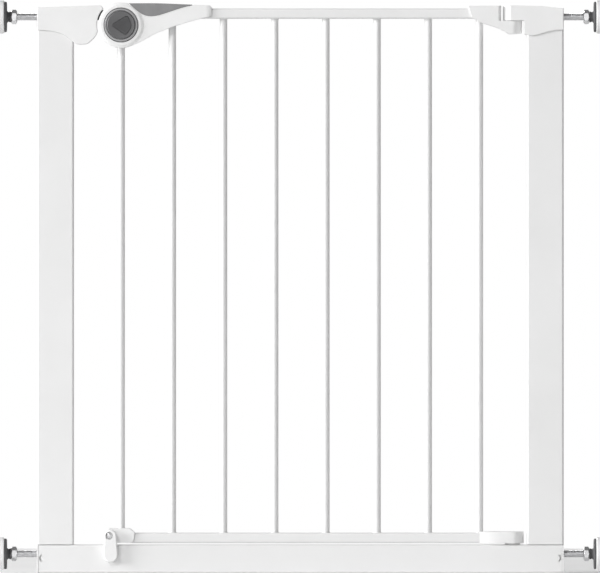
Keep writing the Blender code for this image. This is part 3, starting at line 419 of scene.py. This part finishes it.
def rounded_node(node, name, width, segments=3, angle=38):
    """Copy of a CAD node with its triangles joined into faces and its edges rounded."""
    clear()
    piece = bpy.data.objects.new(name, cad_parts[node].data.copy())
    bpy.context.scene.collection.objects.link(piece)
    edit(piece)
    bpy.ops.mesh.select_all(action="SELECT")
    bpy.ops.mesh.remove_doubles(threshold=0.00001)
    bpy.ops.mesh.dissolve_limited(angle_limit=math.radians(0.6))
    leave()
    return soften(piece, width, segments, angle)


def arc(centre, radius, start, end, steps):
    points = []
    for i in range(steps + 1):
        angle = math.radians(start + (end - start) * i / steps)
        points.append((centre[0] + radius * math.cos(angle), centre[1] + radius * math.sin(angle)))
    return points


def flowing(points, steps=8):
    """Smooth curve through the points."""
    ends = [points[0], *points, points[-1]]
    curve = []
    for a, b, c, d in zip(ends, ends[1:], ends[2:], ends[3:]):
        for i in range(steps):
            t = i / steps
            curve.append(
                tuple(
                    (
                        (-t + 2 * t * t - t**3) * a[k]
                        + (2 - 5 * t * t + 3 * t**3) * b[k]
                        + (t + 4 * t * t - 3 * t**3) * c[k]
                        + (t**3 - t * t) * d[k]
                    )
                    / 2
                    for k in (0, 1)
                )
            )
    return [*curve, points[-1]]


def tube(name, low, high, along, corner):
    """Rounded box tube between two corners, open at both ends."""
    clear()
    size = Vector(high) - Vector(low)
    bpy.ops.mesh.primitive_cube_add(size=1, location=(Vector(low) + Vector(high)) / 2, scale=size)
    piece = named(name)
    k = "xyz".index(along)
    edit(piece)
    pick(piece, "edge", lambda e: abs((e.verts[0].co - e.verts[1].co)[k]) > size[k] / 2)
    bpy.ops.mesh.bevel(offset=corner, segments=8, affect="EDGES")
    pick(piece, "face", lambda normal: abs(normal[k]) > 0.9)
    bpy.ops.mesh.delete(type="FACE")
    leave()
    skin = piece.modifiers.new("wall", "SOLIDIFY")
    skin.thickness = TUBE_WALL
    skin.offset = -1
    skin.use_even_offset = True
    apply(piece, skin)
    return piece


def round_cutter(radius, start, end, centre, along, steps=48):
    low, high = sorted((start, end))
    return spun("cutter", [(0, low), (radius, low), (radius, high), (0, high)], centre, along, steps)


def box_cutter(low, high):
    clear()
    low, high = Vector(low), Vector(high)
    bpy.ops.mesh.primitive_cube_add(size=1, location=(low + high) / 2, scale=high - low)
    return named("cutter")


def screw_hole(screw, face):
    """Hole in the back of a cap or post, round one of the cap screws."""
    return round_cutter(SCREW_HOLE, -0.003, 0.003, (screw.x, face, screw.z), "y", 32)


def open_rims(piece, distance):
    """Merges the corners that meet and selects the rims that are still open."""
    edit(piece)
    bpy.ops.mesh.select_all(action="SELECT")
    bpy.ops.mesh.remove_doubles(threshold=distance)
    bpy.ops.mesh.select_all(action="DESELECT")
    bpy.ops.mesh.select_non_manifold()


def middle(node):
    low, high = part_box(node)
    return (low + high) / 2


# Sizes that the boxes of the frame's pieces don't say, in metres

SEAM = 0.0003
PAST = 0.002  # by which a cutter runs past the face it starts from
TUBE_WALL = 0.0012
POST_CORNER = 0.003
RAIL_CORNER = 0.0025
TUBE_EDGE = 0.0003
ROD_HOLE = 0.0051
PIN_HOLE = 0.0043
SCREW_HOLE = 0.0021
SNAP_LINE = 0.0205  # height of the snap slot's middle
SNAP_RADIUS = 0.00526
SNAP_WIDTH = 0.0022
SNAP_INSET = 0.0008  # from the sill's end
BAR_COUNT = 8
COLLAR_RISE = 0.0011  # height of a bar's weld collar
COLLAR_WAIST = 0.0005
COLLAR_SINK = 0.0006  # by which the collar dips into the rail
HUB_RADIUS = 0.0309
HUB_GAP = 0.0020
BOLT_LINE = 0.7565
BOLT_ROOM = (0.0033, 0.0076, 0.0069)  # behind, in front of and above the bolt
BEZEL_BORE = 0.0197
BEZEL_STEP = 0.0008
BUTTON_DISH = 0.0004
BUTTON_WALL = 0.0030
BUTTON_SKIN = 0.0013
ARROW_GAP = 0.0008
TAB_LEAN = 0.0018  # pivot to the tab's middle line
TAB_TOP_RADIUS = 0.0082
TAB_LOW_RADIUS = 0.0099
TAB_DROP = 0.0258  # pivot to the centre of the lower round
TAB_RECESS = (0.0053, 0.0028)  # radius and depth
TAB_BORE = 0.0029
RIVET_SHANK = 0.0026
RIVET_HEAD = 0.0014
RIVET_DOME = 0.0007
SCREW_SHANK = 0.0018
SCREW_HEAD = 0.0036
SCREW_RIM = 0.0008
SCREW_DOME = 0.0015
CROSS = (0.0040, 0.0008)  # length and width of the screws' recess
CROSS_DEPTH = 0.0012
BOLT_WIRE = 0.0010
BUTTON_WIRE = 0.0005
BUTTON_COIL = 0.0091
THREAD_PITCH = 0.0015
THREAD_CREST = 0.00020  # past the rod's CAD radius
THREAD_ROOT = 0.00035  # inside it
CORE_RADIUS = 0.0043
CORE_NOSE = (0.0036, 0.0008)  # radius at the end and length of the chamfer
NUT_BORE = 0.0050
NUT_CHAMFER = 0.0021
PAD_NECK = 0.0073
PAD_NECK_LENGTH = 0.0055
PAD_DISC = 0.0032
PAD_BOSS_STEP = 0.0045  # between the edges of the disc and the boss
PAD_BORE = 0.0050
PAD_BORE_DEPTH = 0.0070
CUP_BORE = 0.0165
CUP_RECESS = 0.0050
CUP_HOLE = 0.0023
CUP_SINK = (0.0042, 0.0016)  # countersink's radius and depth


def built_posts():
    for side, name, post in ((-1, "left", "latch_post"), (1, "right", "hinge_post")):
        low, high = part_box(f"post_tube_{name}")
        piece = tube(post, low, high, "z", POST_CORNER)
        outer_face = high.x if side > 0 else low.x
        rod_line = middle(f"upper_{name}_spindle").z
        rod_hole = round_cutter(ROD_HOLE, -0.004, 0.004, (outer_face, 0, rod_line), "x")
        carve(piece, rod_hole, screw_hole(middle(f"cap_screw_{name}"), high.y))
        soften(piece, TUBE_EDGE, 2)
        finished(piece, "frame", "white_paint", PAINT, f"post_tube_{name}")


def built_sill():
    low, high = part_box("sill_tube")
    piece = tube("sill_beam", low, high, "x", POST_CORNER)
    pin = middle("hinge_pin_lower")
    carve(piece, round_cutter(PIN_HOLE, -0.004, 0.004, (pin.x, 0, high.z), "z"))
    centre = high.x - SNAP_INSET - SNAP_RADIUS
    outer = arc((centre, SNAP_LINE), SNAP_RADIUS, -64, 64, 24)
    inner = arc((centre - SNAP_WIDTH, SNAP_LINE), SNAP_RADIUS, 60, -60, 24)
    for side in (-1, 1):
        outline = [(side * u, v) for u, v in outer + inner]
        carve(piece, slab("cutter", outline, low.y - PAST, low.y + PAST))
    soften(piece, TUBE_EDGE, 2)
    finished(piece, "frame", "white_paint", PAINT, "sill_tube")


def built_rails():
    for node, name in (("top_rail", "door_top_rail"), ("bottom_rail", "door_bottom_rail")):
        low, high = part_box(node)
        piece = tube(name, low, high, "x", RAIL_CORNER)
        soften(piece, TUBE_EDGE, 2)
        finished(piece, "door", "white_paint", PAINT, node)


def upright(name, low, high, welded):
    """Round bar; a welded one has a small collar where it meets each rail."""
    radius = (high.x - low.x) / 2
    clear()
    centre = (low + high) / 2
    bpy.ops.mesh.primitive_cylinder_add(vertices=48, radius=radius, depth=high.z - low.z, location=centre)
    piece = named(name)
    for end, up in ((low.z, 1), (high.z, -1)) if welded else ():
        edit(piece)
        for rise in (COLLAR_RISE, COLLAR_WAIST):
            bpy.ops.mesh.select_all(action="SELECT")
            bpy.ops.mesh.bisect(plane_co=(0, 0, end + up * rise), plane_no=(0, 0, 1))
        for rise, swell in ((COLLAR_WAIST, 1.07), (0, 1.20)):
            pick(piece, "corner", lambda co: abs(co.z - end - up * rise) < 0.0001)
            bpy.ops.transform.resize(value=(swell, swell, 1), center_override=tuple(centre))
        bpy.ops.transform.translate(value=(0, 0, -up * COLLAR_SINK))
        leave()
    soften(piece, 0.0003, 2, 50)
    return piece


def built_bars():
    low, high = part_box("bar_2")
    first = upright("upright_2", low, high, True)
    for number in range(1, BAR_COUNT + 1):
        node = f"bar_{number}"
        start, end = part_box(node)
        if number in (1, BAR_COUNT):
            piece = upright(f"upright_{number}", start, end, False)
        elif number == 2:
            piece = first
        else:
            piece = first.copy()
            piece.data = first.data.copy()
            piece.name = piece.data.name = f"upright_{number}"
            bpy.context.scene.collection.objects.link(piece)
            piece.data.transform(Matrix.Translation(start - low))
        finished(piece, "door", "white_paint", PAINT, node)


def built_latch_cap():
    """Cap of the latch post: its right side follows the hub, and the bolt shoots into its pocket."""
    low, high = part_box("latch_cap")
    post_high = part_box("post_tube_left")[1]
    hub = middle("handle_pivot")
    face, top = post_high.x, high.z
    hollow = arc((hub.x, hub.z), HUB_RADIUS + HUB_GAP, 137, 194, 40)
    lobe = [(face + u, top - v) for u, v in ((0.0310, 0.0385), (0.0268, 0.0445), (0.0187, 0.0515))]
    base = [(face + u, top - v) for u, v in ((0.0120, 0.0527), (0.0056, 0.0525))]
    skirt = [(0.0, 0.0500), (0.0098, 0.0423), (0.0180, 0.0378), (0.0263, 0.0354), (0.0361, 0.0339)]
    edge = [(face - u, top - v) for u, v in skirt]
    outline = [
        (low.x, top - 0.0030),
        (face + 0.0353, top),
        (face + 0.0377, top - 0.0008),
        *hollow[:-1],
        *flowing([hollow[-1], *lobe, *base, edge[0]])[:-1],
        *flowing(edge),
        (low.x, top - 0.0333),
    ]
    piece = slab("latch_cap_moulding", outline, low.y, high.y)
    room_half = post_high.y + SEAM
    room = box_cutter((low.x - PAST, -room_half, top - 0.08), (face + SEAM, room_half, post_high.z + SEAM))
    behind, ahead, above = BOLT_ROOM
    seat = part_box("latch_bolt")[0].x - behind
    pocket = box_cutter((seat, -ahead, BOLT_LINE - above), (hub.x, 0.0090, BOLT_LINE + above))
    soften(piece, 0.0013, 4, 50)
    carve(piece, room, pocket)
    carve(piece, screw_hole(middle("cap_screw_left"), high.y))
    shade(piece)
    finished(piece, "frame", "white_plastic", PLASTIC, "latch_cap")


def built_mouldings():
    """Mouldings that keep their CAD shape, with rounded edges."""
    for node, name, body, width in (
        ("hinge_cap", "hinge_cap_moulding", "frame", 0.0009),
        ("sill_plug_left", "sill_end_plug_left", "frame", 0.0005),
        ("sill_plug_right", "sill_end_plug_right", "frame", 0.0005),
        ("hinge_bracket", "hinge_bracket_moulding", "door", 0.0008),
        ("hinge_foot", "hinge_foot_moulding", "door", 0.0011),
        ("latch_foot", "latch_foot_moulding", "door", 0.0018),
        ("latch_housing", "latch_core_moulding", "door", 0.0004),
        ("handle_front_shell", "handle_front", "handle", 0.0008),
        ("handle_rear_shell", "handle_rear", "handle", 0.0008),
    ):
        piece = rounded_node(node, name, width)
        finished(piece, body, "white_plastic", PLASTIC, node)
    piece = rounded_node("grip_inlay", "soft_grip_panel", 0.0005)
    finished(piece, "handle", "grey_plastic", GRIP, "grip_inlay")
    piece = rounded_node("latch_bolt", "sliding_bolt", 0.0005)
    finished(piece, "bolt", "dark_grey_plastic", BOLT, "latch_bolt")


def built_button():
    hub = middle("handle_pivot")
    centre = (hub.x, 0, hub.z)
    low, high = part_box("bezel_ring")
    outer = (high.x - low.x) / 2
    profile = [
        (BEZEL_BORE, high.y),
        (BEZEL_BORE, low.y + 0.0004),
        (BEZEL_BORE + BEZEL_STEP, low.y),
        (outer - 2 * BEZEL_STEP, low.y),
        (outer - BEZEL_STEP, low.y + BEZEL_STEP),
        (outer - BEZEL_STEP, low.y + 0.0034),
        (outer, low.y + 0.0040),
        (outer, high.y),
    ]
    ring = spun("bezel", profile, centre, "y", 96)
    soften(ring, 0.0003, 3)
    finished(ring, "handle", "light_grey_plastic", RING, "bezel_ring")

    low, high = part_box("thumb_button")
    radius = (high.x - low.x) / 2
    face = low.y
    dished = [
        (radius * (0.9 - k * 0.1), face + BUTTON_DISH * math.sin(k * math.pi / 18))
        for k in range(1, 9)
    ]
    profile = [
        (0, face + BUTTON_DISH),
        *reversed(dished),
        (radius - 0.0012, face),
        (radius, face + 0.0010),
        (radius, high.y),
        (radius - BUTTON_WALL, high.y),
        (radius - BUTTON_WALL, high.y - BUTTON_SKIN),
        (0, high.y - BUTTON_SKIN),
    ]
    button = spun("push_button", profile, centre, "y", 96)
    carve(button, slab("cutter", triangle(hub, 0.0), face - PAST, face + 0.0011))
    soften(button, 0.0002, 2)
    finished(button, "button", "dark_grey_plastic", BUTTON, "thumb_button")

    arrow = slab("button_arrow", triangle(hub, ARROW_GAP), face + 0.0001, face + 0.0013)
    soften(arrow, 0.0003, 3)
    finished(arrow, "button", "dark_grey_plastic", ARROW)


def triangle(hub, inset):
    """Rounded triangle that points at the latch post: a line drawn tight round four circles."""
    rounds = (  # centre and radius
        (-0.0090, 0.0, 0.0031),
        (0.0074, 0.0083, 0.0040),
        (0.0056, -0.0093, 0.0040),
        (0.0044, -0.0004, 0.0100),
    )
    outline = []
    for step in range(120):
        angle = math.radians(3 * step)
        u, v = math.cos(angle), math.sin(angle)
        x, z, radius = max(rounds, key=lambda r: r[0] * u + r[1] * v + r[2])
        reach = radius - inset
        outline.append((hub.x + x + reach * u, hub.z + z + reach * v))
    return outline


def built_stop_tab():
    low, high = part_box("stop_tab")
    pivot = middle("stop_tab_pin")
    centre = (pivot.x, 0, pivot.z)
    line = pivot.x + TAB_LEAN
    outline = arc((line, pivot.z), TAB_TOP_RADIUS, 4, 176, 32)
    outline += arc((line, pivot.z - TAB_DROP), TAB_LOW_RADIUS, 184, 356, 36)
    piece = slab("swing_stop", outline, low.y, high.y)
    soften(piece, 0.0020, 6)
    recess, depth = TAB_RECESS
    carve(piece, round_cutter(recess, low.y - PAST, low.y + depth, centre, "y"))
    carve(piece, round_cutter(TAB_BORE, low.y - PAST, high.y + PAST, centre, "y"))
    shade(piece)
    finished(piece, "stop_tab", "white_plastic", PLASTIC, "stop_tab")

    low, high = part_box("stop_tab_pin")
    head, front, back = (high.x - low.x) / 2, low.y, high.y
    seat = front + RIVET_HEAD
    dome = [
        (head * math.sin(angle), front + RIVET_DOME * (1 - math.cos(angle)))
        for angle in map(math.radians, (90, 72, 54, 36, 18))
    ]
    profile = [(0, back), (RIVET_SHANK, back), (RIVET_SHANK, seat), (head, seat), *dome, (0, front)]
    pin = spun("stop_tab_rivet", profile, centre, "y", 48)
    soften(pin, 0.0002, 2)
    finished(pin, "door", "zinc", ZINC, "stop_tab_pin")


def built_screws():
    """Pan-head screws in the backs of the caps, with a cross recess."""
    for name in ("left", "right"):
        low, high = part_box(f"cap_screw_{name}")
        at = middle(f"cap_screw_{name}")
        rim = high.y - SCREW_DOME
        seat = rim - SCREW_RIM
        head = [(0, low.y), (SCREW_SHANK, low.y), (SCREW_SHANK, seat), (SCREW_HEAD, seat), (SCREW_HEAD, rim)]
        dome = [
            (SCREW_HEAD * math.cos(angle), rim + SCREW_DOME * math.sin(angle))
            for angle in map(math.radians, (18, 36, 54, 72))
        ]
        piece = spun(f"pan_screw_{name}", [*head, *dome, (0, high.y)], (at.x, 0, at.z), "y", 48)
        for wide, tall in (CROSS, CROSS[::-1]):
            corner = Vector((wide / 2, 0, tall / 2))
            front, back = Vector((at.x, high.y - CROSS_DEPTH, at.z)), Vector((at.x, high.y + PAST, at.z))
            carve(piece, box_cutter(front - corner, back + corner))
        soften(piece, 0.00012, 2)
        finished(piece, "frame", "zinc", ZINC, f"cap_screw_{name}")


def coil(name, radius, wire, start, end, turns, centre, along, steps=28):
    """Round wire wound into a spring between start and end."""
    clear()
    bpy.ops.mesh.primitive_circle_add(vertices=12, radius=wire / 2, fill_type="NOTHING")
    piece = named(name)
    for corner in piece.data.vertices:
        u, v = corner.co.x, corner.co.y
        corner.co = AXES[along](radius + u, 0, v + start + wire / 2)
    wind = piece.modifiers.new("wind", "SCREW")
    wind.axis = along.upper()
    wind.screw_offset = (end - start - wire) / turns
    wind.iterations = turns
    wind.steps = wind.render_steps = steps
    wind.use_normal_calculate = True
    apply(piece, wind)
    open_rims(piece, 1e-7)
    bpy.ops.mesh.edge_face_add()
    leave()
    piece.data.transform(Matrix.Translation(centre))
    shade(piece, 60)
    return piece


def built_springs():
    low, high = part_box("bolt_spring")
    at = (low + high) / 2
    radius = (high.z - low.z - BOLT_WIRE) / 2
    piece = coil("bolt_coil", radius, BOLT_WIRE, low.x, high.x, 8, (0, 0, at.z), "x")
    finished(piece, "door", "spring_steel", SPRING, "bolt_spring")
    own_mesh(piece)

    low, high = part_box("button_spring")
    at = (low + high) / 2
    piece = coil("button_coil", BUTTON_COIL, BUTTON_WIRE, low.y, high.y, 3, (at.x, 0, at.z), "y")
    finished(piece, "handle", "spring_steel", SPRING, "button_spring")
    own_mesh(piece)


def thread(name, low, high):
    """M10 thread, wound from the outline of one turn."""
    radius = (high.z - low.z) / 2
    crest, root = radius + THREAD_CREST, radius - THREAD_ROOT
    length = high.x - low.x
    turns = int(length / THREAD_PITCH) - 2
    start = (length - turns * THREAD_PITCH) / 2
    clear()
    bpy.ops.mesh.primitive_circle_add(vertices=5, radius=0.01, fill_type="NOTHING")
    piece = named(name)
    points = ((crest, 0.0), (crest, 0.18), (root, 0.48), (root, 0.70), (crest, 1.0))
    for corner, (far, along) in zip(piece.data.vertices, points):
        corner.co = (low.x + start + along * THREAD_PITCH, 0, far)
    edit(piece)
    pick(piece, "edge", lambda e: abs(e.verts[0].co.x - e.verts[1].co.x) > 0.9 * THREAD_PITCH)
    bpy.ops.mesh.delete(type="EDGE")
    bpy.ops.object.mode_set(mode="OBJECT")
    wind = piece.modifiers.new("wind", "SCREW")
    wind.axis = "X"
    wind.screw_offset = THREAD_PITCH
    wind.iterations = turns
    wind.steps = wind.render_steps = 28
    wind.use_merge_vertices = True
    wind.merge_threshold = 0.000001
    apply(piece, wind)
    piece.data.transform(Matrix.Translation((0, (low.y + high.y) / 2, (low.z + high.z) / 2)))
    open_rims(piece, 2e-6)
    bpy.ops.mesh.fill()
    leave()
    shade(piece, 30)
    return piece


def built_rod(corner, line):
    """Spindle: the thread round a solid core with chamfered ends."""
    low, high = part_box(f"{corner}_spindle")
    piece = thread(f"{corner}_threaded_rod", low, high)
    # The thread takes the zinc copy that is darkened with painted shade.
    finished(piece, f"{corner}_spindle", "zinc", SHADED_THREAD_ZINC, f"{corner}_spindle")
    nose, chamfer = CORE_NOSE
    core = [
        (0, low.x),
        (nose, low.x),
        (CORE_RADIUS, low.x + chamfer),
        (CORE_RADIUS, high.x - chamfer),
        (nose, high.x),
        (0, high.x),
    ]
    piece = spun(f"{corner}_rod_core", core, (0, 0, line), "x", 40)
    shade(piece)
    finished(piece, f"{corner}_spindle", "zinc", ZINC)


def built_nut(corner, line):
    low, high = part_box(f"{corner}_nut")
    flats = (high.y - low.y) / 2
    far = flats / math.cos(math.pi / 6)
    hexagon = [
        (far * math.sin(k * math.pi / 3), line + far * math.cos(k * math.pi / 3))
        for k in range(6)
    ]
    piece = slab(f"{corner}_hex_nut", hexagon, low.x, high.x, "x")
    edge, rim = flats * 0.985 - 0.0010, far + 0.0006
    cone = [
        (0, low.x - 0.001),
        (edge, low.x),
        (rim, low.x + NUT_CHAMFER),
        (rim, high.x - NUT_CHAMFER),
        (edge, high.x),
        (0, high.x + 0.001),
    ]
    carve(piece, spun("cutter", cone, (0, 0, line), "x", 96), operation="INTERSECT")
    carve(piece, round_cutter(NUT_BORE, low.x - PAST, high.x + PAST, (0, 0, line), "x"))
    soften(piece, 0.0002, 2, 30)
    finished(piece, f"{corner}_spindle", "zinc", ZINC, f"{corner}_nut")


def outward(node, side):
    """Where a piece begins and ends on the way out to the wall, and its radius."""
    low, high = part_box(node)
    near, far = (high.x, low.x) if side < 0 else (low.x, high.x)
    return near, far, (high.z - low.z) / 2


def built_pad(corner, side, line):
    near, end, edge = outward(f"{corner}_pad", side)
    face = near + side * PAD_NECK_LENGTH
    back = face + side * PAD_DISC
    boss = edge - PAD_BOSS_STEP
    waist = PAD_NECK - 0.0007
    profile = [
        (PAD_BORE, near),
        (PAD_NECK, near),
        (PAD_NECK, near + side * 0.0015),
        (waist, near + side * 0.0024),
        (waist, near + side * 0.0036),
        (PAD_NECK + 0.0004, near + side * 0.0047),
        (PAD_NECK + 0.0014, face),
        (edge - 0.0012, face),
        (edge, face + side * 0.0010),
        (edge, back),
        (boss, back),
        (boss, end),
        (0, end),
        (0, near + side * PAD_BORE_DEPTH),
        (PAD_BORE, near + side * PAD_BORE_DEPTH),
    ]
    piece = spun(f"{corner}_rubber_pad", profile, (0, 0, line), "x", 72)
    soften(piece, 0.0003, 3)
    finished(piece, f"{corner}_pad", "rubber", RUBBER, f"{corner}_pad")


def built_cup(corner, side, line):
    near, wall, radius = outward(f"{corner}_wall_cup", side)
    recess = near + side * CUP_RECESS
    sink, depth = CUP_SINK
    profile = [
        (CUP_HOLE, wall),
        (CUP_HOLE, recess + side * depth),
        (sink, recess),
        (CUP_BORE, recess),
        (CUP_BORE, near),
        (radius - 0.0014, near),
        (radius - 0.0004, near + side * 0.0006),
        (radius, near + side * 0.0020),
        (radius, wall),
    ]
    piece = spun(f"{corner}_cup", profile, (0, 0, line), "x", 96)
    soften(piece, 0.0004, 3)
    finished(piece, f"{corner}_pad", "white_plastic", PLASTIC, f"{corner}_wall_cup")


def built_wall_fittings():
    for corner, side in (("upper_left", -1), ("upper_right", 1), ("lower_left", -1), ("lower_right", 1)):
        line = middle(f"{corner}_spindle").z
        built_rod(corner, line)
        built_nut(corner, line)
        built_pad(corner, side, line)
        built_cup(corner, side, line)


def coated_frame_parts():
    """CAD pieces that keep their own mesh."""
    for node, material in (
        ("strike_plate", ZINC),
        ("post_bush_left", ZINC),
        ("post_bush_right", ZINC),
        ("sill_bush_left", ZINC),
        ("sill_bush_right", ZINC),
        ("hinge_pin_upper", ZINC),
        ("hinge_pin_lower", ZINC),
        ("hinge_washer", PLASTIC),
        ("handle_pivot", ZINC),
    ):
        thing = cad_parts[node]
        thing.data.materials.clear()
        thing.data.materials.append(material)


studio()
built_posts()
built_sill()
built_rails()
built_bars()
built_latch_cap()
built_mouldings()
built_button()
built_stop_tab()
built_screws()
built_springs()
built_wall_fittings()
coated_frame_parts()
